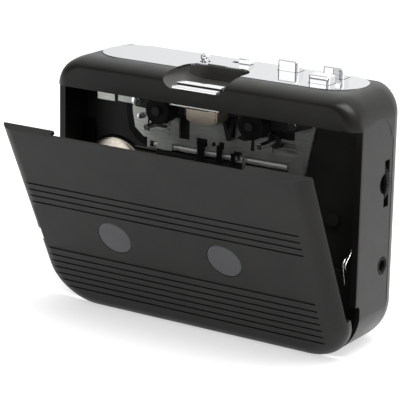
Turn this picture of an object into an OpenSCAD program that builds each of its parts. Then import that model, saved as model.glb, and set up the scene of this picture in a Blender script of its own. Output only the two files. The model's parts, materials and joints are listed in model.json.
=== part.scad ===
// Portable cassette player standing on its long edge, with its door hanging open.
// X runs along the width, Y from the front (negative) to the back, Z up from the base.
// Inside the modules, depth is measured from the front face; place() centres it on the origin.

/* [Body] */
// Overall width of the body
body_w = 116.4; // [114:0.2:120]
// Overall depth of the body
body_d = 33; // [33:0.5:35]
// Height of the moulded body, without the silver plate
body_h = 86; // [85:0.5:90]
// Wall thickness of the casings
wall = 1.6; // [1.4:0.1:1.8]
// Radius of the top corners seen from the front
corner_top = 9.5; // [8:0.5:11]
// Radius of the bottom corners seen from the front
corner_low = 16; // [14:0.5:17]
// Depth at which the front and rear casings meet
split_y = 24.2; // [24:0.1:24.6]
// Height of the underside of the bezel band
bezel_z = 76; // [75.5:0.1:76.5]

/* [Edges] */
// Depth of the rounding between the front face and the sides
front_edge_d = 4.2; // [3:0.1:5]
// Width of that rounding across the front face
front_edge_w = 5.6; // [4:0.1:6]
// Depth of the long curve from the bezel to the top
top_edge_d = 9; // [7:0.5:9]
// Drop of that curve at the front face
top_edge_h = 3.2; // [2:0.1:4]
// Radius of the rear side edges
rear_edge = 9; // [7:0.5:9.5]
// Radius of the rear top edge
rear_top_edge = 1.8; // [1:0.1:3]

/* [Door] */
// Angle at which the door hangs open
door_open = 25.4; // [20:0.2:26]
// Thickness of the door's skin
door_skin = 1.4; // [1.2:0.1:1.5]
// Depth of the door's rim
door_rim = 3.2; // [3:0.1:3.2]
// Depth of the door hinge behind the front face
hinge_y = 4.4; // [4.2:0.1:4.6]
// Height of the door hinge
hinge_z = 4.6; // [4.4:0.1:4.8]
// Radius of the steel hinge pins
hinge_pin_r = 0.9; // [0.7:0.1:1]
// Radius of the two round windows
window_r = 6.4; // [5:0.1:7]
// Depth of the cut lines in the door
groove_depth = 0.4; // [0.2:0.1:0.6]
// Width of the cut lines in the door
groove_w = 0.6; // [0.4:0.1:0.8]

/* [Tape drive] */
// Sideways place of the middle of the cassette
tape_x = -2.4; // [-2.6:0.1:-2.2]
// Distance between the two reel spindles
reel_pitch = 42.5; // [42.4:0.1:42.6]
// Height of the reel spindles
reel_z = 36; // [35.8:0.1:36.2]
// Depth of the deck plate's front face
deck_y = 15.6; // [15.5:0.1:15.8]
// Height of the capstans
capstan_z = 65; // [64.8:0.1:65.2]
// Distance from the middle of the tape to each capstan
capstan_dx = 22; // [21.5:0.1:22.5]
// Radius of the capstan shafts
capstan_r = 1; // [0.9:0.05:1.1]
// Radius of the flywheels
flywheel_r = 12.5; // [11:0.5:13]
// Radius of the motor can
motor_r = 12; // [11:0.1:12.1]

/* [Controls] */
// Width of each chrome key
key_w = 7.6; // [7:0.1:8]
// Depth of each chrome key
key_d = 4.8; // [4.4:0.1:5]
// Travel of the keys when pressed
key_travel = 2; // [1:0.1:2.2]
// Travel of the direction knob when pressed
knob_travel = 1.5; // [1:0.1:1.6]
// Sideways travel of the mode switch
switch_travel = 3; // [2:0.1:3]
// Radius of the volume thumbwheel
volume_r = 9.8; // [9.4:0.1:10]

/* [Hidden] */

black = [0.08, 0.08, 0.08];
steel = [0.62, 0.62, 0.6];
chrome = [0.85, 0.85, 0.87];
half_w = body_w / 2;
front_low_h = 5;
rear_low_edge = 4;
inner_x = half_w - wall;
plate_t = 0.8;
plate_top = body_h + 0.2;
plate_floor = plate_top - plate_t;
roof_z = body_h - 1.8;
floor_y = 17;
floor_t = 1.2;
running = 0.05;
key_clear = 0.2;
thin = 0.02;

// Places of the controls on the top: X, depth, and height above the plate
play_at = [17.9, 27.4, 3.6];
wind_at = [34.8, 27.4, 3.6];
stop_at = [35.4, 17.1, 2.8];
knob_at = [-11.8, 22];
knob_r = 1.6;
switch_at = [1, 27.2];

// Thumb notch in the bezel and its latch
notch_w = 25.6;
notch_back = 19.6;
notch_floor = 80.9;
notch_r = 8;
liner_t = 1.2;
latch_w = 17;
stem_w = 10;
stem_y = [1.75, 3.1];
trim_w = 17;
trim_y = [3.5, 6.3];

// Volume wheel, headphone socket and battery bay
volume_at = [58.9 - volume_r, 20.9, 55.9];
wheel_t = 2.5;
wheel_slot_z = [48.2, 63.6];
jack_at = [19.9, 28.4];
jack_bore_r = 1.85;
jack_r = 2.9;
bay_x = 52.9;
bay_z = [8.9, 24.1];
cover_z = [8.2, 25.2];
cover_x = 54.4;
cover_gap = 0.15;

// Door hinge lobes and the case lugs beside them
lobe_x = 38.6;
lobe_t = 2.4;
lobe_r = 1.8;
lug_x = 41.3;
lug_t = 1.6;

// Case screws: X and height, shank, head and boss radius
screw_places = [[-43.5, 73], [43.5, 73], [-47, 29.2], [45, 36]];
screw_r = 1;
screw_head_r = 1.9;
boss_r = 2.4;

groove_x = [tape_x - 52.6, tape_x + 52.6];
panel_z = [25.2, 43.6];
line_pitch = [2.65, 2.72];
upper_grooves = [for (i = [0:3]) panel_z[1] + 2 + line_pitch[0] * i];
lower_grooves = [for (i = [1:6]) panel_z[0] - line_pitch[1] * i];
window_places = [tape_x - reel_pitch / 2, tape_x + reel_pitch / 2];

// Small features of the door: the gap above it, its catch, side tab, clip and ear
door_gap = 0.4;
door_top = bezel_z - door_gap;
lip_z = bezel_z - 2.4;
catch_w = 8;
tab_z = [59.7, 67.6];
clip_z = [28.4, 33.4];
ear_at = [4.6, 21.6];
ear_r = 3.2;

// ---------- placing ----------
module place() translate([0, -body_d / 2, 0]) children();

// Turns what it holds with the open door
module swung()
    translate([0, hinge_y, hinge_z]) rotate([door_open, 0, 0])
        translate([0, -hinge_y, -hinge_z]) children();

// A box given by its lowest and highest value along each axis
module block(x, y, z)
    translate([x[0], y[0], z[0]]) cube([x[1] - x[0], y[1] - y[0], z[1] - z[0]]);

// A round rod along X, Y or Z
module rod_x(y, z, r, x)
    translate([x[0], y, z]) rotate([0, 90, 0]) cylinder(r = r, h = x[1] - x[0], $fn = 40);
module rod_y(x, z, r, y)
    translate([x, y[0], z]) rotate([-90, 0, 0]) cylinder(r = r, h = y[1] - y[0], $fn = 40);
module rod_z(x, y, r, z)
    translate([x, y, z[0]]) cylinder(r = r, h = z[1] - z[0], $fn = 40);

// A front-view outline (X, Z) given depth along Y
module plate_y(y) translate([0, y[1], 0]) rotate([90, 0, 0]) linear_extrude(y[1] - y[0]) children();

// A side-view outline (Y, Z) given width along X
module plate_x(x) translate([x[0], 0, 0]) rotate([90, 0, 90]) linear_extrude(x[1] - x[0]) children();

// A rectangle with true round corners
module round_rect(x, y, r) {
    translate([x[0] + r, y[0]]) square([x[1] - x[0] - 2 * r, y[1] - y[0]]);
    translate([x[0], y[0] + r]) square([x[1] - x[0], y[1] - y[0] - 2 * r]);
    for (cx = [x[0] + r, x[1] - r], cy = [y[0] + r, y[1] - r])
        translate([cx, cy]) circle(r, $fn = 32);
}

// The flat outline of a bent wire along a list of points
module bent(points, r) {
    for (p = points) translate(p) circle(r, $fn = 16);
    for (i = [1:len(points) - 1]) let (a = points[i - 1], d = points[i] - a)
        translate(a) rotate(atan2(d[1], d[0])) translate([0, -r * 0.98]) square([norm(d), r * 1.96]);
}

// ---------- the body's outer form ----------
// Inset of an elliptical edge, u away from the face it starts on
function quarter(u, deep, wide) = u >= deep ? 0 : wide * (1 - sqrt(1 - pow(1 - u / deep, 2)));
function side_inset(y) =
    quarter(y, front_edge_d, front_edge_w) + quarter(body_d - y, rear_edge, rear_edge);
function top_inset(y) =
    quarter(y, top_edge_d, top_edge_h) + quarter(body_d - y, rear_top_edge, rear_top_edge);
function low_inset(y) =
    quarter(y, front_edge_d, front_low_h) + quarter(body_d - y, rear_low_edge, rear_low_edge);

front_stations = concat([for (a = [0:18:90]) front_edge_d * (1 - cos(a))], [6, top_edge_d]);
rear_stations = concat(
    [for (a = [15:15:90]) body_d - rear_edge * (1 - sin(a))], [body_d - rear_top_edge / 3]);
front_at = concat(front_stations, [split_y]);
rear_at = concat([split_y], rear_stations);

// The four corner discs of the body's outline at one depth, moved in by an inset
module corner_discs(y, inset) {
    x = half_w - side_inset(y) - inset;
    top = body_h - top_inset(y) - inset;
    low = 0.5 * quarter(y, 6, 1) + low_inset(y) + inset;
    r_top = corner_top - inset - 0.6 * side_inset(y);
    r_low = corner_low - inset - 0.6 * side_inset(y);
    for (s = [-1, 1]) {
        translate([s * (x - r_top), y + thin, top - r_top])
            rotate([90, 0, 0]) cylinder(r = r_top, h = thin, $fn = 32);
        translate([s * (x - r_low), y + thin, low + r_low])
            rotate([90, 0, 0]) cylinder(r = r_low, h = thin, $fn = 32);
    }
}

// The form between its first and last station
module outer_form(at) hull() for (y = at) corner_discs(min(y, body_d - thin), 0);

// The same form moved in by t, and run on past the open end
module inner_form(at, t, run_on) hull() {
    for (y = at) translate([0, t - y * 2 * t / body_d, 0]) corner_discs(min(y, body_d - thin), t);
    corner_discs(run_on, t);
}

// What the door takes away from the front casing
module door_opening()
    plate_x([-half_w - 1, half_w + 1])
        polygon([[-1, -1], [6.2, -1], [6.2, 17.6], [3.4, 18.4], [3.4, bezel_z], [-1, bezel_z]]);

// Clear holes for a key, knob or switch through the roof
module control_holes() {
    hole_x = key_w / 2 + key_clear;
    hole_y = key_d / 2 + key_clear;
    through = [roof_z - 4, body_h + 2];
    for (at = [play_at, wind_at, stop_at])
        block([at[0] - hole_x, at[0] + hole_x], [at[1] - hole_y, at[1] + hole_y], through);
    rod_z(knob_at[0], knob_at[1], knob_r + key_clear, through);
    block([switch_at[0] - 2.2 - switch_travel, switch_at[0] + 2.2],
        [switch_at[1] - 1, switch_at[1] + 1], through);
}

plate_x_range = [-50.2, 49.2];
module plate_outline() {
    ends = 11.5;
    translate([0, 32.4 - 2 * ends])
        round_rect([plate_x_range[0], plate_x_range[1]], [0, 2 * ends], ends - 0.001);
}
module notch_outline(grow = 0)
    round_rect([tape_x - notch_w / 2 - grow, tape_x + notch_w / 2 + grow],
        [-12, notch_back + grow], notch_r + grow);

// The notch: wide at the top, with sloping ends towards its floor
module thumb_notch() intersection() {
    translate([0, 0, notch_floor]) linear_extrude(20) notch_outline();
    plate_y([-2, body_d]) translate([tape_x, 0]) polygon([
        [-8.6, notch_floor], [8.6, notch_floor], [11.4, 82.4], [notch_w / 2, 84.6], [notch_w / 2, 95],
        [-notch_w / 2, 95], [-notch_w / 2, 84.6], [-11.4, 82.4]
    ]);
}

// ---------- casings ----------
module front_shell() color(black) place() {
    difference() {
        outer_form(front_at);
        inner_form(front_stations, wall, split_y + 1);
        door_opening();
        thumb_notch();
        control_holes();
        translate([0, 0, plate_floor]) linear_extrude(5) plate_outline();
        block([50, half_w + 1], [volume_at[1] - wheel_t / 2 - 0.3, volume_at[1] + wheel_t / 2 + 0.3],
            wheel_slot_z);
        rod_x(jack_at[0], jack_at[1], jack_r + 0.1, [50, half_w + 1]);
    }
    difference() {
        union() {
            block([-half_w + 6, half_w - 6], [1.2, 9], [bezel_z, bezel_z + 1]);
            translate([0, 0, notch_floor - liner_t]) linear_extrude(roof_z + 1 - notch_floor)
                intersection() {
                    notch_outline(liner_t);
                    translate([-half_w, liner_t]) square([body_w, body_d]);
                }
        }
        thumb_notch();
        block([tape_x - trim_w / 2 - 0.1, tape_x + trim_w / 2 + 0.1],
            [trim_y[0] - 0.05, trim_y[1] + 0.05], [notch_floor - 0.8, 90]);
        block([tape_x - stem_w / 2 - 0.3, tape_x + stem_w / 2 + 0.3], [0, 3.3],
            [bezel_z - 1, notch_floor + 2]);
    }
}

// The hollow rear casing before its holes are cut
module rear_wall() difference() {
    translate([0, 2 * thin, 0]) outer_form(rear_at);
    inner_form(rear_stations, wall, split_y - 1);
}

module rear_shell() color(black) place() difference() {
    rear_wall();
    control_holes();
    translate([0, 0, plate_floor]) linear_extrude(5) plate_outline();
    block([-cover_x - cover_gap, cover_x + cover_gap], [split_y + 1.4, body_d + 1],
        [cover_z[0] - cover_gap, cover_z[1] + cover_gap]);
    for (p = screw_places) {
        rod_y(p[0], p[1], screw_r + 0.3, [body_d - 3, body_d + 1]);
        rod_y(p[0], p[1], screw_head_r + 0.2, [body_d - 1.05, body_d + 1]);
    }
}

module battery_cover() color(black) place() {
    intersection() {
        rear_wall();
        block([-cover_x, cover_x], [split_y + 1.6, body_d + 1], cover_z);
    }
    for (x = [-34, 0, 34]) {
        block([x - 4, x + 4], [30.1, 31.3], [cover_z[0] - 1.4, cover_z[0] + 3]);
        block([x - 4, x + 4], [31, 31.5], [cover_z[0] + 0.4, cover_z[0] + 3]);
    }
}

module top_plate() color(chrome) place() difference() {
    translate([0, 0, plate_floor]) linear_extrude(plate_t) difference() {
        plate_outline();
        notch_outline();
    }
    control_holes();
}

// ---------- door ----------
door_profile = [[-1, 0.5], [door_rim, 0.5], [door_rim, 3], [5.4, 8], [5.4, 16.5], [door_rim, 17.2],
    [door_rim, door_top], [-1, door_top]];

// A straight cut line across the front of the door
module groove(z) block(groove_x, [-1, groove_depth], [z - groove_w / 2, z + groove_w / 2]);

module door() color(black) place() swung() {
    difference() {
        intersection() {
            outer_form(front_stations);
            plate_x([-half_w - 1, half_w + 1]) polygon(door_profile);
        }
        intersection() {
            inner_form(front_stations, door_skin, top_edge_d + 1);
            block([-half_w, half_w], [0, 20], [0, door_top - 1.2]);
        }
        block([tape_x - 34, tape_x + 37.4], [1, 10], [lip_z, bezel_z]);
        for (z = upper_grooves) groove(z);
        for (z = lower_grooves) groove(z);
        block(groove_x, [-1, groove_depth - 0.15], panel_z);
        for (x = window_places) rod_y(x, reel_z, window_r, [-1, 5]);
        block([-half_w - 1, -half_w + 1.3], [1, 2.6], clip_z);
    }
    for (s = [-1, 1]) difference() {
        plate_x(s > 0 ? [lobe_x, lobe_x + lobe_t] : [-lobe_x - lobe_t, -lobe_x]) {
            translate([hinge_y, hinge_z]) circle(lobe_r, $fn = 32);
            polygon([[0.9, 3.4], [4, 2.85], [5, 6.3], [0.9, 9]]);
        }
        rod_x(hinge_y, hinge_z, hinge_pin_r + running, [-60, 60]);
    }
    for (x = [-36, 26]) block([x, x + 8], [door_skin - 0.3, 12.4], [5.9, 6.8]);
    block([tape_x - catch_w / 2, tape_x + catch_w / 2], [0.9, 3.9], [lip_z, lip_z + 0.7]);
    block([tape_x - catch_w / 2, tape_x + catch_w / 2], [3.3, 3.9], [lip_z, lip_z + 1.6]);
    for (x = [-53.9, 48]) block([x, x + 1], [door_skin - 0.3, 6.4], [10, 52]);
    block([inner_x - 2.2, inner_x - 1.1], [1.5, 4.4], tab_z);
    block([inner_x - 2.2, half_w - 0.5], [1.5, 3], tab_z);
    plate_x([53.3, 54.7]) {
        translate(ear_at) circle(ear_r, $fn = 32);
        polygon([[1, 12], [5, 12], [7.8, 21], [1, 22]]);
    }
}

module door_windows() color([0.5, 0.5, 0.52, 0.6]) place() swung()
    for (x = window_places) {
        rod_y(x, reel_z, window_r - 0.05, [groove_depth - 0.25, door_skin]);
        rod_y(x, reel_z, window_r + 1, [door_skin + 0.02, door_skin + 0.7]);
    }

module door_clip() color(steel) place() swung()
    block([-half_w + 0.15, -half_w + 1.2], [1.05, 2.55], [clip_z[0] + 0.1, clip_z[1] - 0.1]);

spring_wire = 0.35;
module door_spring() color(steel) place() {
    plate_x([52.3, 53]) bent([[12.4, 34.9], [10.3, 35.2], [5.7, 31.3], [6.7, 29.5]], spring_wire);
    plate_x([50.6, 51.3]) bent([[12, 32.4], [9.2, 32.7], [7.4, 31], [8.7, 24]], spring_wire);
    translate([50.6, 13.6, 33.4]) rotate([0, 90, 0]) difference() {
        cylinder(r = 2, h = 2.4, $fn = 40);
        translate([0, 0, -1]) cylinder(r = 1.3, h = 5, $fn = 40);
    }
}

module hinge_pins() color(steel) place() {
    ends = [lobe_x + 0.2, lug_x + lug_t];
    for (x = [ends, [-ends[1], -ends[0]]]) rod_x(hinge_y, hinge_z, hinge_pin_r, x);
}

// ---------- latch in the thumb notch ----------
// Lifting it by its bar takes its foot over the tooth of the closed door
flange_top = bezel_z + 1.6;
module latch() color(chrome) place() {
    block([tape_x - latch_w / 2, tape_x + latch_w / 2], [0.4, 3.1], [notch_floor + 0.15, notch_floor + 1.1]);
    block([tape_x - stem_w / 2, tape_x + stem_w / 2], stem_y, [bezel_z - 1.3, notch_floor + 0.6]);
    block([tape_x - 8.4, tape_x + 8.4], [stem_y[0], 4.4], [bezel_z + 1.15, flange_top]);
}

module latch_trim() color(chrome) place()
    block([tape_x - trim_w / 2, tape_x + trim_w / 2], trim_y, [notch_floor - 0.8, notch_floor + 1.9]);

module latch_spring() color(steel) place()
    for (x = [tape_x - 7, tape_x + 7])
        coil([x, 3, 0], 0.8, 0.3, [flange_top + thin, notch_floor - liner_t - thin]);

// A closed tube standing for a coil spring
module coil(at, r, t, z) translate(at) difference() {
    translate([0, 0, z[0]]) cylinder(r = r, h = z[1] - z[0], $fn = 24);
    translate([0, 0, z[0] - 1]) cylinder(r = r - t, h = z[1] - z[0] + 2, $fn = 24);
}

// ---------- keys ----------
stem_foot = roof_z - 2.6;
module key(at) {
    block([at[0] - key_w / 2, at[0] + key_w / 2], [at[1] - key_d / 2, at[1] + key_d / 2],
        [stem_foot, plate_top + at[2]]);
    block([at[0] - key_w / 2 - 0.8, at[0] + key_w / 2 + 0.8],
        [at[1] - key_d / 2 - 0.8, at[1] + key_d / 2 + 0.8], [stem_foot, roof_z - 0.1 - key_clear]);
}
module play_key() color(chrome) place() key(play_at);
module wind_key() color(chrome) place() key(wind_at);
module stop_key() color(chrome) place() key(stop_at);

module direction_knob() color(chrome) place() {
    rod_z(knob_at[0], knob_at[1], knob_r, [stem_foot, plate_top + 2.9]);
    rod_z(knob_at[0], knob_at[1], knob_r + 0.5, [stem_foot, roof_z - 0.3]);
}

module mode_switch() color(chrome) place() {
    x = switch_at[0];
    y = switch_at[1];
    block([x - 2.3, x + 2.3], [y - 1.5, y + 1.5], [plate_top + 0.1, plate_top + 1.9]);
    block([x - 1.9, x + 1.9], [y - 0.8, y + 0.8], [roof_z - 1.2, plate_top + 1]);
    block([x - 3, x + 3], [y - 1.6, y + 1.6], [roof_z - 1.6, roof_z - 0.3]);
}

bracket_z = stem_foot - key_travel - 0.7;
knob_bracket_z = stem_foot - knob_travel - 2;
module key_spring(at, seat) coil([at[0], at[1], 0], 1.4, 0.4, [seat + thin, stem_foot - thin]);
module play_spring() color(steel) place() key_spring(play_at, bracket_z);
module wind_spring() color(steel) place() key_spring(wind_at, bracket_z);
module stop_spring() color(steel) place() key_spring(stop_at, bracket_z);
module knob_spring() color(steel) place() key_spring(knob_at, knob_bracket_z);

// ---------- chassis and deck ----------
capstan_x = [tape_x - capstan_dx, tape_x + capstan_dx];
motor_at = [-44, 45];

module chassis() color([0.12, 0.12, 0.12]) place() {
    difference() {
        union() {
            block([-inner_x + 0.2, inner_x - 0.2], [floor_y, floor_y + floor_t], [26, 77.5]);
            block([-16, -8], [floor_y + 0.5, 24.4], [knob_bracket_z - 1.2, knob_bracket_z]);
        }
        rod_y(motor_at[0], motor_at[1], motor_r + 0.3, [10, 24]);
        for (x = capstan_x) rod_y(x, capstan_z, 3.4, [10, 24]);
        for (x = window_places) rod_y(x, reel_z, 1.6, [10, 24]);
        block([-31, 26], [floor_y - 2, floor_y + 3], [54.6, 58]);
        block([-53, -47], [floor_y - 2, floor_y + 3], [69.5, 76]);
        block([-57, -46.5], [floor_y - 0.1, floor_y + 0.6], [52.3, 58.5]);
        block([49.5, 57], [floor_y - 1, floor_y + 2], [25.3, 31.9]);
    }
    rod_y(42, 42.2, 2.2, [floor_y - 1.6, floor_y + 0.1]);
    rod_x(13.6, 33.4, 1.2, [50.4, inner_x - 0.2]);
    block([53.6, inner_x - 0.2], [12.2, floor_y + 0.2], [32, 34.8]);
    for (p = screw_places) difference() {
        rod_y(p[0], p[1], boss_r, [floor_y + 0.2, 29.3]);
        rod_y(p[0], p[1], screw_r + running, [floor_y + 3, body_d]);
    }
}

// Open-backed box for the cells, with the door's hinge lugs on its front
module battery_tray() color([0.12, 0.12, 0.12]) place() {
    difference() {
        union() {
            block([-bay_x - 1.2, bay_x + 1.2], [floor_y - 1.3, floor_y + floor_t], [bay_z[0] - 0.9, 25.9]);
            bay_shelf([bay_z[1], bay_z[1] + 1.2]);
            bay_shelf([bay_z[0] - 0.9, bay_z[0]]);
            for (x = [-bay_x - 1.2, bay_x])
                block([x, x + 1.2], [floor_y, 24], [bay_z[0] - 0.9, bay_z[1] + 1]);
        }
        block([-bay_x, bay_x], [floor_y - 0.5, 32], bay_z);
    }
    for (s = [-1, 1]) difference() {
        plate_x(s > 0 ? [lug_x, lug_x + lug_t] : [-lug_x - lug_t, -lug_x]) {
            translate([hinge_y, hinge_z]) circle(lobe_r, $fn = 32);
            polygon([
                [hinge_y, hinge_z - lobe_r], [8, 2], [floor_y, 2], [floor_y, 10],
                [15.7, 10], [15.7, 4.4], [hinge_y, 6.4]
            ]);
        }
        rod_x(hinge_y, hinge_z, hinge_pin_r + thin, [-60, 60]);
    }
}

// A shelf above or below the cells, narrower where the rear casing curves in
module bay_shelf(z) {
    block([-bay_x - 1.2, bay_x + 1.2], [floor_y, 24], z);
    block([-49, 49], [floor_y, 29.2], z);
}

// Sheet-metal angle that the key springs stand on
module key_bracket() color(steel) place() {
    block([12.2, 53], [15.2, 30.4], [bracket_z - 1.1, bracket_z]);
    block([12.2, 53], [floor_y + floor_t + 0.05, 19.2], [76, bracket_z - 1]);
}

// Windows of the deck plate: lowest and highest X, lowest and highest Z
deck_windows = [
    [-29.3, -26.2, 55.2, 57.8], [-20.4, -9.9, 55, 57.9], [-7.6, -2.4, 55, 57.8], [-0.6, 3.2, 55, 57.8],
    [8.4, 25, 55, 58], [-17.6, -13.4, 60.3, 65.8], [-10.6, -6.3, 58.9, 61.6], [-1.8, 0.2, 59, 61.4],
    [10.5, 11.8, 60.3, 64.7], [18.5, 27.6, 60.8, 64.9], [29, 30.4, 70.2, 71.2], [-30.2, -29.5, 61, 66.4],
    [17.4, 27, 66, 72.4], [-28.8, -15.5, 67, 73], [0.8, 4.4, 63.4, 70.4], [4, 7.8, 55, 59.2]
];
deck_outline = [[-36.5, 75.6], [-36.5, 67.2], [-35.4, 61.6], [-31.8, 58.8], [-30.4, 58.8], [-30.4, 53],
    [-34, 50], [-34, 27], [30, 27], [30, 51], [31.5, 57.3], [34.6, 72], [34.6, 75.6]];

module deck_plate() color(steel) place() difference() {
    plate_y([deck_y, deck_y + 1]) polygon(deck_outline);
    for (w = deck_windows) block([w[0], w[1]], [deck_y - 1, deck_y + 2], [w[2], w[3]]);
    rod_y(motor_at[0], motor_at[1], motor_r + 0.4, [10, 20]);
    for (x = capstan_x) rod_y(x, capstan_z, 2.45, [10, 20]);
    for (x = window_places) rod_y(x, reel_z, post_r + thin, [10, 20]);
    rod_y(-3.8, 60.3, 0.8, [10, 20]);
}

// ---------- tape head and pinch rollers ----------
head_x = [tape_x - 5.9, tape_x + 5.9];
module head_carriage() color(chrome) place() {
    block([tape_x - 13, tape_x + 7], [5.4, 14], [74, 74.6]);
    difference() {
        block([tape_x - 13, tape_x + 13], [13.2, 14], [73, 77.9]);
        block([tape_x + 9.7, tape_x + 11.3], [12, 16], [74, 77.2]);
    }
}

module tape_head() color([0.66, 0.6, 0.53]) place() intersection() {
    block(head_x, [5.4, 12.8], [68.6, 73.98]);
    rod_y((head_x[0] + head_x[1]) / 2, 79.4, 10.8, [0, 20]);
}

module carriage_spring() color(steel) place() coil([tape_x + 10.5, 12.1, 0], 0.9, 0.3, [74.2, 77.8]);

roller_r = 4.6;
roller_dx = 18;
roller_z = 71;
arm_dx = 30.4;
arm_pivot = [tape_x - arm_dx, 71.9];
pivot_r = 1;
axle_r = 0.75;
module roller_body() difference() {
    rod_y(tape_x - roller_dx, roller_z, roller_r, [6.2, 12.2]);
    rod_y(tape_x - roller_dx, roller_z, axle_r + running, [0, 20]);
}
// A lever from its pivot to the roller's axle, seen from the front
module arm() {
    x0 = arm_pivot[0];
    x1 = tape_x - roller_dx;
    difference() {
        plate_y([12.6, 13.6]) {
            translate([x0, arm_pivot[1]]) circle(2.3, $fn = 32);
            translate([x1, roller_z]) circle(2.3, $fn = 32);
            polygon([
                [x0 - 6.6, 72], [x0 - 6.6, 74], [x0, 74.2], [x1, 73.2], [x1, 69], [x0, 69.6]
            ]);
        }
        rod_y(x0, arm_pivot[1], pivot_r + running, [10, 20]);
    }
    rod_y(x1, roller_z, axle_r, [5.4, 12.8]);
    rod_y(x1, roller_z, 2 * axle_r, [5.2, 5.9]);
}
module mirrored() translate([2 * tape_x, 0, 0]) mirror([1, 0, 0]) children();

module pinch_arm_left() color(black) place() arm();
module pinch_arm_right() color(black) place() mirrored() arm();
module pinch_roller_left() color([0.15, 0.15, 0.15]) place() roller_body();
module pinch_roller_right() color([0.15, 0.15, 0.15]) place() mirrored() roller_body();

// ---------- capstans, flywheels, motor and belt ----------
belt_y = [25.1, 26.3];
pulley_r = 10.5;
module capstan(x) rod_y(x, capstan_z, capstan_r, [5.6, 24]);
module flywheel(x) difference() {
    union() {
        rod_y(x, capstan_z, flywheel_r, [20.4, 24.2]);
        rod_y(x, capstan_z, pulley_r, [24.2, 27.2]);
    }
    rod_y(x, capstan_z, capstan_r + thin, [10, 24.1]);
    difference() {
        rod_y(x, capstan_z, flywheel_r + 1, [belt_y[0] - 0.2, belt_y[1] + 0.2]);
        rod_y(x, capstan_z, pulley_r - belt_groove[0], [belt_y[0] - 0.3, belt_y[1] + 0.3]);
    }
}
module capstan_left() color(steel) place() capstan(capstan_x[0]);
module capstan_right() color(steel) place() capstan(capstan_x[1]);
module flywheel_left() color([0.7, 0.7, 0.66]) place() flywheel(capstan_x[0]);
module flywheel_right() color([0.7, 0.7, 0.66]) place() flywheel(capstan_x[1]);

module capstan_bushes() color([0.12, 0.12, 0.12]) place() for (x = capstan_x) difference() {
    union() {
        rod_y(x, capstan_z, 2.4, [15.2, 19.8]);
        rod_y(x, capstan_z, 3.2, [deck_y + 1.02, floor_y + 2]);
    }
    rod_y(x, capstan_z, capstan_r + running, [10, 30]);
}

pulley_motor_r = 2.6;
belt_groove = [0.8, 0.6];
motor_shaft_r = 0.75;
module belt_loop(r) hull() {
    translate([motor_at[0], motor_at[1]]) circle(pulley_motor_r - belt_groove[1] + r, $fn = 32);
    for (x = capstan_x) translate([x, capstan_z]) circle(pulley_r - belt_groove[0] + r, $fn = 48);
}
module drive_belt() color(black) place() plate_y(belt_y) difference() {
    belt_loop(0.95);
    belt_loop(0.12);
}

module motor() color([0.75, 0.72, 0.66]) place() {
    rod_y(motor_at[0], motor_at[1], motor_r, [15.9, 23.6]);
    rod_y(motor_at[0], motor_at[1], motor_r - 1.2, [15.5, 24]);
    rod_y(motor_at[0], motor_at[1], 3, [15.2, 24.3]);
    rod_y(motor_at[0], motor_at[1], motor_shaft_r, [24, 27.4]);
}

module motor_pulley() color([0.8, 0.65, 0.3]) place() difference() {
    rod_y(motor_at[0], motor_at[1], pulley_motor_r, [24.5, 27.2]);
    difference() {
        rod_y(motor_at[0], motor_at[1], pulley_motor_r + 1, [belt_y[0] - 0.1, belt_y[1] + 0.1]);
        rod_y(motor_at[0], motor_at[1], pulley_motor_r - belt_groove[1],
            [belt_y[0] - 0.2, belt_y[1] + 0.2]);
    }
    rod_y(motor_at[0], motor_at[1], motor_shaft_r + running, [20, 30]);
}

// ---------- reel spindles ----------
post_r = 1;
module spindle(x) difference() {
    union() {
        rod_y(x, reel_z, 3.3, [7.4, 14.4]);
        rod_y(x, reel_z, 2.2, [6.6, 7.5]);
        rod_y(x, reel_z, 5.4, [14, 15.3]);
        for (a = [0:60:300]) translate([x, 0, reel_z]) rotate([0, a, 0])
            block([-0.45, 0.45], [8.6, 14.2], [2.6, 4.3]);
    }
    rod_y(x, reel_z, post_r + running, [0, 30]);
}
module spindle_left() color([0.2, 0.2, 0.2]) place() spindle(window_places[0]);
module spindle_right() color([0.2, 0.2, 0.2]) place() spindle(window_places[1]);
module spindle_posts() color(steel) place() for (x = window_places) {
    rod_y(x, reel_z, post_r, [6.2, 19]);
    rod_y(x, reel_z, post_r + 0.5, [deck_y + 1.02, 19.4]);
}

// ---------- shift rod, levers and pins ----------
rod_at = [deck_y + 2.25, 56.4];
rod_r = 1.1;
module shift_rod() color(steel) place() {
    rod_x(rod_at[0], rod_at[1], rod_r, [-28.8, 24]);
    rod_x(rod_at[0], rod_at[1], rod_r + 0.4, [-4.6, -3.2]);
}
module rod_spring() color(steel) place()
    plate_y([15.8, 16.4]) bent([[4.4, 58.4], [5.4, 57.4], [6.2, 56.2], [7.4, 55.4]], 0.3);

// Flat pressed levers lying on the deck, seen from the front
module deck_levers() color([0.1, 0.1, 0.1]) place() {
    plate_y([14.2, 15]) polygon([
        [0.4, 71.5], [2.4, 66.6], [4.2, 71.5], [5.4, 71.5], [3.2, 62.6], [1.9, 62.6], [-0.6, 71.5]
    ]);
    plate_y([14.6, 15.2]) polygon([
        [5.4, 63.9], [13.6, 70.2], [15.8, 69.4], [17.2, 66.2], [14.8, 65.6], [8.6, 63.4]
    ]);
    plate_y([16.7, 17 - thin]) polygon([[17, 68.6], [27.6, 68.6], [27.6, 72.8], [17, 72.8]]);
}

module pivot_pins() color(steel) place() {
    for (s = [-1, 1]) {
        x = tape_x + s * arm_dx;
        rod_y(x, arm_pivot[1], pivot_r, [12, deck_y - thin]);
        rod_y(x, arm_pivot[1], pivot_r + 0.5, [11.6, 12.4]);
    }
    rod_y(-32.9, 65.9, 1, [14.4, deck_y - thin]);
    rod_y(16, 66.8, 0.9, [13.6, 14.56]);
}

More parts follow.
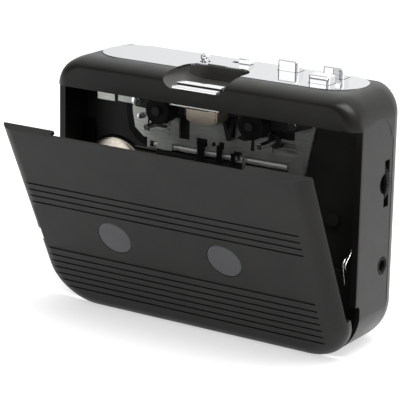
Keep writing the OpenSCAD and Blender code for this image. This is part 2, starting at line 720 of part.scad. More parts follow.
// ---------- electronics ----------
module circuit_board() color([0.1, 0.35, 0.2]) place() difference() {
    union() {
        block([-28, 53], [28.2, 29.4], [27, 76]);
        block([2, 14], [26.9, 28.3], [34, 44]);
        block([-20, -8], [27.3, 28.3], [32, 40]);
    }
    for (p = screw_places) rod_y(p[0], p[1], boss_r + 0.3, [20, body_d]);
}

module volume_pot() color([0.25, 0.25, 0.27]) place() {
    rod_y(volume_at[0], volume_at[2], 5.2, [volume_at[1] + 1.7, 28.1]);
    rod_y(volume_at[0], volume_at[2], 1.5, [volume_at[1] - 1.6, volume_at[1] + 2]);
}

module volume_wheel() color([0.1, 0.1, 0.1]) place() difference() {
    rod_y(volume_at[0], volume_at[2], volume_r, [volume_at[1] - wheel_t / 2, volume_at[1] + wheel_t / 2]);
    rod_y(volume_at[0], volume_at[2], 1.5 + running, [10, 30]);
    for (a = [0:10:350]) translate([volume_at[0], volume_at[1], volume_at[2]]) rotate([0, a, 0])
        block([volume_r - 0.35, volume_r + 1], [-2, 2], [-0.35, 0.35]);
}

module headphone_jack() color([0.05, 0.05, 0.05]) place() difference() {
    union() {
        rod_x(jack_at[0], jack_at[1], jack_r, [50, half_w + 0.1]);
        block([43.4, 51], [floor_y + floor_t + 0.1, 23.6], [jack_at[1] - 3, jack_at[1] + 3.4]);
    }
    rod_x(jack_at[0], jack_at[1], jack_bore_r, [44.6, half_w + 1]);
}

module battery_contacts() color(steel) place() {
    for (x = [-bay_x + 0.05, bay_x - 0.45]) block([x, x + 0.4], [20, 23.9], [12.5, 20.5]);
    translate([-bay_x + 0.4, 23.6, 16.5]) rotate([0, 90, 0]) cylinder(r1 = 3.2, r2 = 2, h = 2, $fn = 24);
    translate([bay_x - 1.2, 23.6, 16.5]) rotate([0, 90, 0]) cylinder(r = 1.8, h = 0.8, $fn = 24);
}

module case_screws() color(steel) place() for (p = screw_places) {
    rod_y(p[0], p[1], screw_r, [floor_y + 4, body_d - 0.8]);
    rod_y(p[0], p[1], screw_head_r, [body_d - 1, body_d - 0.2]);
}

front_shell();
rear_shell();
top_plate();
chassis();
battery_tray();
key_bracket();
deck_plate();
door();
door_windows();
door_clip();
door_spring();
hinge_pins();
latch();
latch_trim();
latch_spring();
play_key();
wind_key();
stop_key();
direction_knob();
mode_switch();
play_spring();
wind_spring();
stop_spring();
knob_spring();
head_carriage();
tape_head();
carriage_spring();
pinch_arm_left();
pinch_arm_right();
pinch_roller_left();
pinch_roller_right();
capstan_left();
capstan_right();
flywheel_left();
flywheel_right();
capstan_bushes();
drive_belt();
motor();
motor_pulley();
spindle_left();
spindle_right();
spindle_posts();
shift_rod();
rod_spring();
deck_levers();
pivot_pins();
circuit_board();
volume_pot();
volume_wheel();
headphone_jack();
battery_contacts();
battery_cover();
case_screws();
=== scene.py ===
import bmesh
import bpy
import json
import math
from mathutils import Matrix, Vector


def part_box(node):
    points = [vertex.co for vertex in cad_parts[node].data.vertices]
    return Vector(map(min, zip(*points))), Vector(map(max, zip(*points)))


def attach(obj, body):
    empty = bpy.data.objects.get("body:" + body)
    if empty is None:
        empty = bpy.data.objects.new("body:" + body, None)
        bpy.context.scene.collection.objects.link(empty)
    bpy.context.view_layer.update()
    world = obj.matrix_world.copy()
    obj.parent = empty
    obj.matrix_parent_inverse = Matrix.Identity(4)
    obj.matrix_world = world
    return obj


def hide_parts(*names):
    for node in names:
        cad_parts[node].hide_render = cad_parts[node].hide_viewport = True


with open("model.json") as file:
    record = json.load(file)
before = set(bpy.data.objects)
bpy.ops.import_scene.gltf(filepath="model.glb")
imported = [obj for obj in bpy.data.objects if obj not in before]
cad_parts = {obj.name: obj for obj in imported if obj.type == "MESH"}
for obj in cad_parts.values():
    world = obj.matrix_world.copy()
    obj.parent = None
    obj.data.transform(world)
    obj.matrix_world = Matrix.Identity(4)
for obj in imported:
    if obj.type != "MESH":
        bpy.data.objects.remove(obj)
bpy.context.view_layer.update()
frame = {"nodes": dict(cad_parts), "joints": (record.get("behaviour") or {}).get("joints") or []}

# Everything is modelled in millimetres, with depth measured back from the front face and the door
# closed, and turned into the frame's metres by finish_piece().
MM = 0.001
shell_lo, shell_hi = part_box("front_shell")
rear_lo, rear_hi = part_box("rear_shell")
front_plane = shell_lo.y / MM
BODY_W = (shell_hi.x - shell_lo.x) / MM
BODY_D = (rear_hi.y - shell_lo.y) / MM
BODY_H = shell_hi.z / MM
HALF_W = BODY_W / 2
SPLIT_Y = rear_lo.y / MM - front_plane
WALL = 1.6
CORNER_TOP, CORNER_LOW = 9.5, 16
FRONT_EDGE_D, FRONT_EDGE_W = 4.2, 5.6
TOP_EDGE_D, TOP_EDGE_H = 9, 3.2
LOW_EDGE_H = 5
LOW_SWEEP_D, LOW_SWEEP_H = 6, 0.5
REAR_EDGE, REAR_TOP_EDGE, REAR_LOW_EDGE = 9, 1.8, 4
# The outline's corners tighten by this share of what the edges take off its sides
CORNER_SHARE = 0.6
BEZEL_Z = 76
NOTCH_FLOOR = 80.9
DOOR_SKIN, DOOR_RIM = 1.4, 3.2
# Cutters run this far to either side, well past the body
OUT = 80
# Heights that cut the top's skin only, and places along X that cut the right-hand wall only
TOP_CUT = (80, 90)
SIDE_CUT = (50, 60)


def joint(name):
    return next(j for j in frame["joints"] if j["name"] == name)


def node_box(name):
    """A node's box in this script's millimetres: three pairs, low and high."""
    lo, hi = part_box(name)
    return [(lo[i] / MM - (front_plane if i == 1 else 0), hi[i] / MM - (front_plane if i == 1 else 0))
            for i in range(3)]


def middle(name):
    return [(a + b) / 2 for a, b in node_box(name)]


door_joint = joint("door_hinge")
HINGE_Y = door_joint["pos_m"][1] / MM - front_plane
HINGE_Z = door_joint["pos_m"][2] / MM
DOOR_OPEN = -math.radians(door_joint["range_deg"][0])
SPINDLE_X = [middle("spindle_left")[0], middle("spindle_right")[0]]
REEL_Z = middle("spindle_left")[2]
TAPE_X = sum(SPINDLE_X) / 2
PLATE_TOP = node_box("top_plate")[2][1]
CAPSTAN_X = [middle("capstan_left")[0], middle("capstan_right")[0]]
CAPSTAN_Z = middle("capstan_left")[2]
DECK_Y = node_box("deck_plate")[1][0]
MOTOR = middle("motor")


# ---------- meshes ----------
def mesh_object(name, verts, faces):
    mesh = bpy.data.meshes.new(name)
    mesh.from_pydata([tuple(v) for v in verts], [], [tuple(f) for f in faces])
    mesh.validate()
    ob = bpy.data.objects.new(name, mesh)
    bpy.context.scene.collection.objects.link(ob)
    bm = bmesh.new()
    bm.from_mesh(mesh)
    bmesh.ops.recalc_face_normals(bm, faces=bm.faces)
    bm.to_mesh(mesh)
    bm.free()
    return ob


def apply_modifiers(ob):
    dg = bpy.context.evaluated_depsgraph_get()
    mesh = bpy.data.meshes.new_from_object(ob.evaluated_get(dg))
    ob.modifiers.clear()
    old = ob.data
    ob.data = mesh
    bpy.data.meshes.remove(old)
    return ob


def loft(name, rings):
    """A solid through rings of the same number of points."""
    n = len(rings[0])
    verts = [p for ring in rings for p in ring]
    faces = [(i * n + j, i * n + (j + 1) % n, (i + 1) * n + (j + 1) % n, (i + 1) * n + j)
             for i in range(len(rings) - 1) for j in range(n)]
    faces += [tuple(range(n)), tuple(range(len(verts) - n, len(verts)))]
    return mesh_object(name, verts, faces)


def prism(name, outline, axis, lo, hi):
    """An outline extruded along an axis: (y, z) along X, (x, z) along Y or (x, y) along Z."""
    def at(p, h):
        return {"X": (h, p[0], p[1]), "Y": (p[0], h, p[1]), "Z": (p[0], p[1], h)}[axis]
    return loft(name, [[at(p, lo) for p in outline], [at(p, hi) for p in outline]])


def block(name, x, y, z):
    return prism(name, [(x[0], y[0]), (x[1], y[0]), (x[1], y[1]), (x[0], y[1])], "Z", z[0], z[1])


def arc(cx, cy, r, start, end, steps=10):
    return [(cx + r * math.cos(math.radians(start + (end - start) * i / steps)),
             cy + r * math.sin(math.radians(start + (end - start) * i / steps)))
            for i in range(steps + 1)]


def round_rect(x, y, r, steps=10):
    return (arc(x[1] - r, y[0] + r, r, -90, 0, steps) + arc(x[1] - r, y[1] - r, r, 0, 90, steps)
            + arc(x[0] + r, y[1] - r, r, 90, 180, steps) + arc(x[0] + r, y[0] + r, r, 180, 270, steps))


def circle(cx, cy, r, steps=48):
    return arc(cx, cy, r, 0, 360, steps)[:-1]


def lathe(name, profile, axis, centre, steps=64):
    """A profile of (radius, place along the axis) turned about X, Y or Z through a centre."""
    verts, faces = [], []
    for i in range(steps):
        c, s = math.cos(2 * math.pi * i / steps), math.sin(2 * math.pi * i / steps)
        for r, h in profile:
            a, b = r * c, r * s
            p = {"X": (h, a, b), "Y": (a, h, b), "Z": (a, b, h)}[axis]
            off = {"X": (0, centre[0], centre[1]), "Y": (centre[0], 0, centre[1]),
                   "Z": (centre[0], centre[1], 0)}[axis]
            verts.append([p[k] + off[k] for k in range(3)])
    n = len(profile)
    closed = profile[0] == profile[-1]
    for i in range(steps):
        here, there = i * n, (i + 1) % steps * n
        faces += [(here + j, here + j + 1, there + j + 1, there + j) for j in range(n - 1)]
    ob = mesh_object(name, verts, faces)
    bm = bmesh.new()
    bm.from_mesh(ob.data)
    bmesh.ops.remove_doubles(bm, verts=bm.verts, dist=1e-4)
    if not closed:
        bmesh.ops.holes_fill(bm, edges=[e for e in bm.edges if e.is_boundary], sides=0)
    bmesh.ops.recalc_face_normals(bm, faces=bm.faces)
    bm.to_mesh(ob.data)
    bm.free()
    return ob


def rod(name, axis, centre, r, lo, hi, edge=0.15, steps=40):
    """A round rod with a small chamfer at each end."""
    e = min(edge, r / 3, (hi - lo) / 3)
    return lathe(name, [(0, lo), (r - e, lo), (r, lo + e), (r, hi - e), (r - e, hi), (0, hi)],
                 axis, centre, steps)


def tube(name, points, r, steps=10):
    """A round wire along points in space."""
    points = [Vector(p) for p in points]
    rings = []
    side = None
    for i, p in enumerate(points):
        before, after = points[max(i - 1, 0)], points[min(i + 1, len(points) - 1)]
        t = (after - before).normalized()
        if side is None:
            side = t.orthogonal().normalized()
        side = (side - t * side.dot(t)).normalized()
        up = t.cross(side)
        angles = [2 * math.pi * k / steps for k in range(steps)]
        rings.append([p + (side * math.cos(a) + up * math.sin(a)) * r for a in angles])
    return loft(name, rings)


def spline(points, per=8):
    """A smooth curve through points, by Catmull and Rom's rule."""
    pts = [Vector(p) for p in points]
    pts = [2 * pts[0] - pts[1]] + pts + [2 * pts[-1] - pts[-2]]
    out = []
    for i in range(1, len(pts) - 2):
        a, b, c, d = pts[i - 1:i + 3]
        for k in range(per):
            t = k / per
            out.append(0.5 * (2 * b + (c - a) * t + (2 * a - 5 * b + 4 * c - d) * t * t
                              + (3 * b - a - 3 * c + d) * t ** 3))
    return out + [pts[-2]]


def coil(name, centre, r, wire, z, turns):
    """A round-wire compression spring along Z."""
    steps = int(turns * 20)
    points = []
    for i in range(steps + 1):
        a = 2 * math.pi * turns * i / steps
        points.append((centre[0] + (r - wire) * math.cos(a), centre[1] + (r - wire) * math.sin(a),
                       z[0] + wire + (z[1] - z[0] - 2 * wire) * i / steps))
    return tube(name, points, wire, 8)


def combine(ob, other, operation):
    m = ob.modifiers.new("combine", "BOOLEAN")
    m.operation = operation
    m.solver = "EXACT"
    m.object = other
    apply_modifiers(ob)
    bpy.data.objects.remove(other)
    return ob


def cut(ob, *cutters):
    for c in cutters:
        combine(ob, c, "DIFFERENCE")
    return ob


def keep_inside(ob, other):
    return combine(ob, other, "INTERSECT")


def join(ob, *others):
    """Puts other meshes into ob as separate shells."""
    bm = bmesh.new()
    bm.from_mesh(ob.data)
    for o in others:
        bm.from_mesh(o.data)
        bpy.data.objects.remove(o)
    bm.to_mesh(ob.data)
    bm.free()
    return ob


def soften(ob, width, segments=2, angle=40):
    """Rounds every edge whose faces meet at more than an angle."""
    m = ob.modifiers.new("soften", "BEVEL")
    m.width = width
    m.segments = segments
    m.limit_method = "ANGLE"
    m.angle_limit = math.radians(angle)
    m.miter_outer = "MITER_ARC"
    return apply_modifiers(ob)


def finish_piece(ob, body, material, slot, *nodes, smooth=38, open_door=False):
    """Moves a piece into the frame, gives it its body and material, and hides the nodes it replaces; the slot
    is not used.
    """
    if open_door:
        hinge = Vector((0, HINGE_Y, HINGE_Z))
        ob.data.transform(Matrix.Translation(hinge) @ Matrix.Rotation(DOOR_OPEN, 4, "X")
                          @ Matrix.Translation(-hinge))
    ob.data.transform(Matrix.Scale(MM, 4) @ Matrix.Translation((0, front_plane, 0)))
    ob.data.shade_smooth()
    ob.data.set_sharp_from_angle(angle=math.radians(smooth))
    even = ob.modifiers.new("even", "WEIGHTED_NORMAL")
    even.keep_sharp = True
    apply_modifiers(ob)
    ob.data.materials.clear()
    ob.data.materials.append(material)
    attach(ob, body)
    if nodes:
        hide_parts(*nodes)
    return ob


def bare_copy(node, name):
    """A CAD node's own shape as a new mesh, without its triangulation."""
    mesh = frame["nodes"][node].data.copy()
    ob = bpy.data.objects.new(name, mesh)
    bpy.context.scene.collection.objects.link(ob)
    mesh.transform(Matrix.Translation((0, -front_plane, 0)) @ Matrix.Scale(1 / MM, 4))
    bare = bpy.data.meshes.new(name)
    bm = bmesh.new()
    bm.from_mesh(mesh)
    bmesh.ops.remove_doubles(bm, verts=bm.verts, dist=5e-4)
    bmesh.ops.dissolve_limit(bm, angle_limit=math.radians(0.5), verts=bm.verts, edges=bm.edges)
    bmesh.ops.recalc_face_normals(bm, faces=bm.faces)
    for layer in list(bm.loops.layers.uv):
        bm.loops.layers.uv.remove(layer)
    bm.to_mesh(bare)
    bm.free()
    ob.data = bare
    bpy.data.meshes.remove(mesh)
    return ob


def refined(node, name, body, material, slot, edge=0.12):
    """A CAD node's own shape with its edges rounded."""
    ob = soften(bare_copy(node, name), edge, 2, 35)
    return finish_piece(ob, body, material, slot, node, smooth=32)


# ---------- materials ----------
class Nodes:
    """A material and its node tree, with short calls for the usual nodes."""

    def __init__(self, name):
        self.material = bpy.data.materials.new(name)
        self.material.use_nodes = True
        self.tree = self.material.node_tree
        self.shader = self.tree.nodes["Principled BSDF"]
        self.place = self.tree.nodes.new("ShaderNodeTexCoord").outputs["Object"]

    def link(self, a, b):
        self.tree.links.new(a, b)

    def noise(self, scale, detail=3, stretch=(1, 1, 1)):
        node = self.tree.nodes.new("ShaderNodeTexNoise")
        node.inputs["Scale"].default_value = scale
        node.inputs["Detail"].default_value = detail
        mapping = self.tree.nodes.new("ShaderNodeMapping")
        mapping.inputs["Scale"].default_value = stretch
        self.link(self.place, mapping.inputs["Vector"])
        self.link(mapping.outputs["Vector"], node.inputs["Vector"])
        return node.outputs["Fac"]

    def ramp(self, value, low, high, start=0.3, end=0.7):
        """Spreads a value between two numbers or colours."""
        node = self.tree.nodes.new("ShaderNodeMapRange")
        if isinstance(low, tuple):
            node.data_type = "FLOAT_VECTOR"
            names = ["Vector", "From_Min_FLOAT3", "From_Max_FLOAT3", "To_Min_FLOAT3", "To_Max_FLOAT3"]
            sockets = [next(s for s in node.inputs if s.identifier == n) for n in names]
            for s, v in zip(sockets[1:], [(start,) * 3, (end,) * 3, low, high]):
                s.default_value = v
            self.link(value, sockets[0])
            return next(s for s in node.outputs if s.identifier == "Vector")
        for key, v in zip(("From Min", "From Max", "To Min", "To Max"), (start, end, low, high)):
            node.inputs[key].default_value = v
        self.link(value, node.inputs["Value"])
        return node.outputs["Result"]

    def bump(self, height, depth, strength=1.0, before=None):
        node = self.tree.nodes.new("ShaderNodeBump")
        node.inputs["Strength"].default_value = strength
        node.inputs["Distance"].default_value = depth
        self.link(height, node.inputs["Height"])
        if before is not None:
            self.link(before, node.inputs["Normal"])
        return node.outputs["Normal"]

    def set(self, **values):
        for key, v in values.items():
            self.shader.inputs[key.replace("_", " ")].default_value = v


def plastic(name, colour, rough, grain=2600, depth=0.00003, tone=0.25, level=0.5):
    """Moulded plastic: spark-eroded grain, slow tone and gloss variation."""
    n = Nodes(name)
    slow = n.noise(55, 2)
    fine = n.noise(grain, 2)
    dark = tuple(c * (1 - tone) for c in colour)
    light = tuple(c * (1 + tone) for c in colour)
    n.link(n.ramp(slow, dark, light), n.shader.inputs["Base Color"])
    n.link(n.ramp(n.noise(170, 3), rough * 0.9, rough * 1.1), n.shader.inputs["Roughness"])
    n.link(n.bump(fine, depth, 0.5), n.shader.inputs["Normal"])
    n.set(Specular_IOR_Level=level)
    return n.material


def metal(name, colour, rough, stretch=(1, 1, 1), grain=1500, depth=0.000004, tone=0.06, amount=1.0):
    """Plated or brushed metal: grain drawn out along one way, faint smudges."""
    n = Nodes(name)
    lines = n.noise(grain, 3, stretch)
    smudge = n.noise(90, 3)
    dark = tuple(c * (1 - tone) for c in colour)
    light = tuple(min(1, c * (1 + tone)) for c in colour)
    n.link(n.ramp(lines, dark, light), n.shader.inputs["Base Color"])
    n.link(n.ramp(smudge, rough * 0.75, rough * 1.35), n.shader.inputs["Roughness"])
    n.link(n.bump(lines, depth, 0.6), n.shader.inputs["Normal"])
    n.set(Metallic=amount)
    return n.material


def lens(name):
    """Smoked translucent plastic over a dark inside."""
    n = Nodes(name)
    tone = n.ramp(n.noise(60, 2), (0.026, 0.027, 0.03), (0.036, 0.037, 0.041))
    n.link(tone, n.shader.inputs["Base Color"])
    n.link(n.ramp(n.noise(400, 2), 0.32, 0.42), n.shader.inputs["Roughness"])
    n.link(n.bump(n.noise(1800, 2), 0.00002, 0.4), n.shader.inputs["Normal"])
    n.set(Transmission_Weight=0.15, IOR=1.5)
    return n.material


def board(name):
    """Green circuit board with darker copper runs under the lacquer."""
    n = Nodes(name)
    runs = n.noise(700, 1, (1, 1, 0.12))
    tone = n.ramp(runs, (0.01, 0.09, 0.035), (0.03, 0.18, 0.07), 0.47, 0.53)
    n.link(tone, n.shader.inputs["Base Color"])
    n.link(n.bump(runs, 0.00003, 0.5), n.shader.inputs["Normal"])
    n.link(n.ramp(n.noise(200, 2), 0.3, 0.45), n.shader.inputs["Roughness"])
    return n.material


casing_black = plastic("casing_black", (0.0062, 0.0059, 0.0048), 0.33, level=0.22)
door_black = plastic("door_black", (0.0066, 0.0063, 0.0054), 0.4, level=0.2)
# A lighter copy of the casing's black plastic for the notch walls: painted light where light falls on them.
notch_black_painted_light = plastic("notch_black_painted_light", (0.034, 0.033, 0.03), 0.34, level=0.5)
inner_black = plastic("inner_black", (0.02, 0.0195, 0.0178), 0.5, 1800, 0.00004, level=0.25)
window_grey = lens("window_grey")
silver = metal("silver", (0.62, 0.632, 0.65), 0.075, (1, 6, 6), 500, 0.0000006, 0.015)
chrome = metal("chrome", (0.84, 0.845, 0.85), 0.045, (1, 1, 1), 900, 0.000001, 0.02)
zinc = metal("zinc", (0.48, 0.5, 0.47), 0.38, (0.15, 1, 1), 1500, 0.000008, 0.12, 0.9)
steel = metal("steel", (0.6, 0.6, 0.58), 0.25, (0.12, 1, 1), 2500, 0.000004, 0.1)
wire = metal("wire", (0.75, 0.74, 0.71), 0.2)
head_metal = metal("head_metal", (0.68, 0.6, 0.5), 0.34, (0.1, 1, 1), 2200, 0.000004, 0.08)
turned = metal("turned", (0.62, 0.61, 0.58), 0.3, (1, 0.2, 1), 2200, 0.000006, 0.1)
can = metal("can", (0.62, 0.57, 0.49), 0.24, (1, 1, 1), 1400, 0.000003, 0.08)
brass = metal("brass", (0.72, 0.52, 0.24), 0.25, (1, 0.2, 1), 2200)
rubber = plastic("rubber", (0.004, 0.004, 0.004), 0.7, 1500, 0.00005, level=0.2)
soft_black = plastic("soft_black", (0.0025, 0.0025, 0.0024), 0.55, 1800, 0.00004, level=0.15)
board_green = board("board_green")
satin = metal("satin", (0.8, 0.8, 0.77), 0.42, (0.12, 1, 1), 2500, 0.000004, 0.08, 0.75)


# ---------- the body's form ----------
def quarter(u, deep, wide):
    """How far a quarter-ellipse edge, so deep and so wide, has moved in at u from where it starts."""
    return 0 if u >= deep else wide * (1 - math.sqrt(max(0, 1 - (1 - u / deep) ** 2)))


def form_ring(y, inset=0.0, at=None, steps=16):
    """The body's outline at one depth, moved in by an inset, placed at a depth of its own."""
    side = quarter(y, FRONT_EDGE_D, FRONT_EDGE_W) + quarter(BODY_D - y, REAR_EDGE, REAR_EDGE)
    x = HALF_W - side - inset
    top = (BODY_H - quarter(y, TOP_EDGE_D, TOP_EDGE_H)
           - quarter(BODY_D - y, REAR_TOP_EDGE, REAR_TOP_EDGE) - inset)
    low = (quarter(y, LOW_SWEEP_D, LOW_SWEEP_H) + quarter(y, FRONT_EDGE_D, LOW_EDGE_H)
           + quarter(BODY_D - y, REAR_LOW_EDGE, REAR_LOW_EDGE) + inset)
    r_top = CORNER_TOP - inset - CORNER_SHARE * side
    r_low = CORNER_LOW - inset - CORNER_SHARE * side
    depth = y if at is None else at
    outline = (arc(x - r_low, low + r_low, r_low, -90, 0, steps)
               + arc(x - r_top, top - r_top, r_top, 0, 90, steps)
               + arc(r_top - x, top - r_top, r_top, 90, 180, steps)
               + arc(r_low - x, low + r_low, r_low, 180, 270, steps))
    return [(p[0], depth, p[1]) for p in outline]


def eased(deep, steps):
    """Depths from 0 to deep, closer together at the start, where an edge curves most."""
    return [deep * (1 - math.cos(math.pi / 2 * i / steps)) for i in range(steps + 1)]


front_depths = sorted(set(round(y, 3) for y in eased(FRONT_EDGE_D, 12) + eased(TOP_EDGE_D, 12)))
rear_steps = sorted(set(round(y, 3) for y in eased(REAR_EDGE, 12) + eased(REAR_TOP_EDGE, 5)), reverse=True)
rear_depths = [BODY_D - max(y, 0.001) for y in rear_steps if BODY_D - y > SPLIT_Y + 0.2]


def inner_depth(y, t):
    """The depth of a ring moved in by t, so that the form is t thinner at its front and its rear."""
    return t + y * (1 - 2 * t / BODY_D)


def front_form(name, inset, run_on):
    """The body's form from the front face back, moved in by an inset and run straight on at its end."""
    rings = [form_ring(y, inset, inner_depth(y, inset)) for y in front_depths]
    return loft(name, rings + [form_ring(SPLIT_Y, inset, run_on)])


KEY_W, KEY_D, KEY_GAP = 7.6, 4.8, 0.2
KNOB_HOLE_R = 1.8


def key_hole(node):
    x, y = middle(node)[:2]
    w, d = KEY_W / 2 + KEY_GAP, KEY_D / 2 + KEY_GAP
    return prism("hole", round_rect((x - w, x + w), (y - d, y + d), 0.5, 4), "Z", *TOP_CUT)


def switch_slot(z):
    x, y = middle("mode_switch")[:2]
    return block("switch_slot", (x - 5.2, x + 2.2), (y - 1, y + 1), z)


def front_holes():
    knob_hole = circle(*middle("direction_knob")[:2], KNOB_HOLE_R)
    return [key_hole("stop_key"), prism("hole", knob_hole, "Z", *TOP_CUT)]


def rear_holes():
    return [key_hole("play_key"), key_hole("wind_key"), switch_slot(TOP_CUT)]


PLATE_X, PLATE_Y = node_box("top_plate")[:2]
PLATE_T, PLATE_GAP = 0.8, 0.12


def plate_outline(grow=0.0):
    r = (PLATE_Y[1] - PLATE_Y[0]) / 2 + grow - 0.01
    return round_rect((PLATE_X[0] - grow, PLATE_X[1] + grow), (PLATE_Y[0] - grow, PLATE_Y[1] + grow), r, 24)


def plate_seat(below=0.0):
    """The shallow recess that the silver plate lies in."""
    return prism("plate_seat", plate_outline(PLATE_GAP), "Z", PLATE_TOP - PLATE_T - below, TOP_CUT[1])


NOTCH_W, NOTCH_FRONT, NOTCH_BACK, NOTCH_R = 24.4, -12, 19.6, 6.5
NOTCH_FLOOR_R = 4.4
NOTCH_TOP = 100


def notch_plan(grow=0.0):
    w = NOTCH_W / 2 + grow
    return round_rect((TAPE_X - w, TAPE_X + w), (NOTCH_FRONT, NOTCH_BACK + grow), NOTCH_R + grow, 14)


def notch_cutter(grow=0.0):
    """The notch's room: its plan, with ends that curve in towards the floor as seen from the front."""
    plan = prism("notch", notch_plan(grow), "Z", NOTCH_FLOOR - grow, NOTCH_TOP)
    w, r = NOTCH_W / 2 + grow, NOTCH_FLOOR_R
    right = arc(w - r, NOTCH_FLOOR - grow + r, r, -90, 0, 10)
    front = [(TAPE_X + x, z) for x, z in right] + [(TAPE_X + w, NOTCH_TOP), (TAPE_X - w, NOTCH_TOP)]
    front += [(TAPE_X - x, z) for x, z in reversed(right)]
    return keep_inside(plan, prism("front", front, "Y", -3, 40))


def latch_slot():
    return block("latch_slot", (TAPE_X - 5.3, TAPE_X + 5.3), (0, 3.3), (BEZEL_Z - 1, TOP_CUT[1]))


# ---------- casings ----------
CASING_EDGE = 0.22


def front_casing():
    ob = front_form("front_casing", 0, SPLIT_Y)
    cut(ob, front_form("inside", WALL, SPLIT_Y + 1))
    # The door's opening as seen from the side: deep at the foot, then a rounded step to the sides' edge
    side_y, foot_y, step_z, step_r = 3.4, 6.2, 17, 1.8
    opening = [(-1, -1), (foot_y, -1), *arc(foot_y - step_r, step_z, step_r, 0, 90, 6),
               (side_y, step_z + step_r), (side_y, BEZEL_Z), (-1, BEZEL_Z)]
    cut(ob, prism("opening", opening, "X", -OUT, OUT), notch_cutter())
    cut(ob, *front_holes())
    cut(ob, plate_seat())
    side_marks(ob)
    soften(ob, CASING_EDGE, 2, 50)
    ledge = block("ledge", (-HALF_W + 6, HALF_W - 6), (1.2, 9), (BEZEL_Z, BEZEL_Z + 1))
    cut(ledge, latch_slot())
    soften(ledge, 0.15)
    join(ob, ledge)
    finish_piece(ob, "case", casing_black, "black_casing", "front_shell")


def side_marks(ob):
    """Cuts the right-hand wall's arched panel, the volume wheel's scoop and slot, and the socket's hole."""
    panel_y, panel_z, arch_z = (4.4, 26), 12, 69
    arch = [(panel_y[0], panel_z), (panel_y[1], panel_z), (panel_y[1], arch_z)]
    arch += arc(14.3, arch_z, 9, 12, 168, 16) + [(panel_y[0], arch_z)]
    cut(ob, prism("side_panel", arch, "X", HALF_W - 0.1, HALF_W + 12))
    wheel_y, wheel_z = middle("volume_wheel")[1:]
    scoop = [(0, HALF_W - 1.3), (1.6, HALF_W - 1.1), (3, HALF_W - 0.5), (3.7, HALF_W), (4.2, HALF_W + 1),
             (0, HALF_W + 1)]
    cut(ob, lathe("scoop", scoop, "X", (wheel_y - 1, wheel_z), 48))
    cut(ob, block("wheel_slot", SIDE_CUT, (wheel_y - 1.55, wheel_y + 1.55), (48.2, 63.6)))
    cut(ob, rod("jack_hole", "X", middle("headphone_jack")[1:], 3, *SIDE_CUT, 0))


def notch_liner():
    """The thumb notch's walls, a hair proud of the casing's own cut edge, in a lighter copy of the casing's
    plastic: painted light on the walls.
    """
    thick, proud = 1.2, 0.05
    ob = prism("notch_liner", notch_plan(thick), "Z", NOTCH_FLOOR - thick, TOP_CUT[1])
    keep_inside(ob, front_form("skin", 0.12, SPLIT_Y))
    trim_slot = block("trim_slot", (TAPE_X - 8.6, TAPE_X + 8.6), (3.45, 6.35), (NOTCH_FLOOR - 0.8, NOTCH_TOP))
    cut(ob, notch_cutter(-proud), plate_seat(0.02), trim_slot, latch_slot())
    soften(ob, 0.1, 2, 50)
    finish_piece(ob, "case", notch_black_painted_light, "black_casing")


SCREWS = [(-43.5, 73), (43.5, 73), (-47, 29.2), (45, 36)]
COVER_X, COVER_Z, COVER_GAP = 54.4, (8.2, 25.2), 0.15
# Cutters through the rear wall end behind it
BEHIND = 40


def rear_form():
    ob = loft("rear", [form_ring(SPLIT_Y + 0.04)] + [form_ring(y) for y in rear_depths])
    inside = [form_ring(y, WALL, inner_depth(y, WALL)) for y in rear_depths]
    return cut(ob, loft("inside", [form_ring(SPLIT_Y, WALL, SPLIT_Y - 1)] + inside))


def rear_casing():
    ob = rear_form()
    ob.name = "rear_casing"
    cut(ob, *rear_holes())
    cut(ob, plate_seat())
    cut(ob, block("bay", (-COVER_X - COVER_GAP, COVER_X + COVER_GAP), (SPLIT_Y + 1.4, BEHIND),
                  (COVER_Z[0] - COVER_GAP, COVER_Z[1] + COVER_GAP)))
    for x, z in SCREWS:
        for r, deep in ((2.1, 1.05), (1.3, 3)):
            cut(ob, rod("screw_hole", "Y", (x, z), r, BODY_D - deep, BEHIND, 0))
    soften(ob, CASING_EDGE, 2, 50)
    finish_piece(ob, "case", casing_black, "black_casing", "rear_shell")


def battery_lid():
    ob = keep_inside(rear_form(), block("lid", (-COVER_X, COVER_X), (SPLIT_Y + 1.6, BEHIND), COVER_Z))
    ob.name = "battery_lid"
    grip_z, grip_w, pitch, taper, groove = 12.6, 9, 1.5, 0.9, 0.6
    for i in range(6):
        z, w = grip_z + pitch * i, grip_w - i * taper
        grip = round_rect((-w, w), (z, z + groove), 0.29, 4)
        cut(ob, prism("grip", grip, "Y", BODY_D - 0.35, BEHIND))
    soften(ob, 0.18, 2, 50)
    for x in (-34, 0, 34):
        tab = block("tab", (x - 4, x + 4), (30.1, 31.3), (COVER_Z[0] - 1.4, COVER_Z[0] + 3))
        join(ob, soften(tab, 0.2))
    finish_piece(ob, "battery_cover", casing_black, "black_casing", "battery_cover")


def silver_top():
    ob = prism("silver_top", plate_outline(), "Z", PLATE_TOP - PLATE_T, PLATE_TOP)
    cut(ob, prism("notch", notch_plan(), "Z", *TOP_CUT), *front_holes(), *rear_holes())
    soften(ob, 0.2, 2, 50)
    recess = switch_slot((PLATE_TOP - 1.4, PLATE_TOP - 1))
    recess.name = "recess"
    finish_piece(ob, "case", silver, "silver_plate", "top_plate")
    finish_piece(recess, "case", inner_black, "dark_plastic")


# ---------- door ----------
LINE_X = (TAPE_X - 52.6, TAPE_X + 52.6)
LINE_W, LINE_DEEP = 0.7, 0.32
PANEL_Z = (25.2, 43.6)
LINES = [45.6 + 2.65 * i for i in range(4)] + [PANEL_Z[0] - 2.72 * i for i in range(1, 7)]
WINDOW_R = 6.4
DOOR_TOP = BEZEL_Z - 0.4
CATCH_FOOT = BEZEL_Z - 2.4
CLIP_Z = (28.5, 33.3)


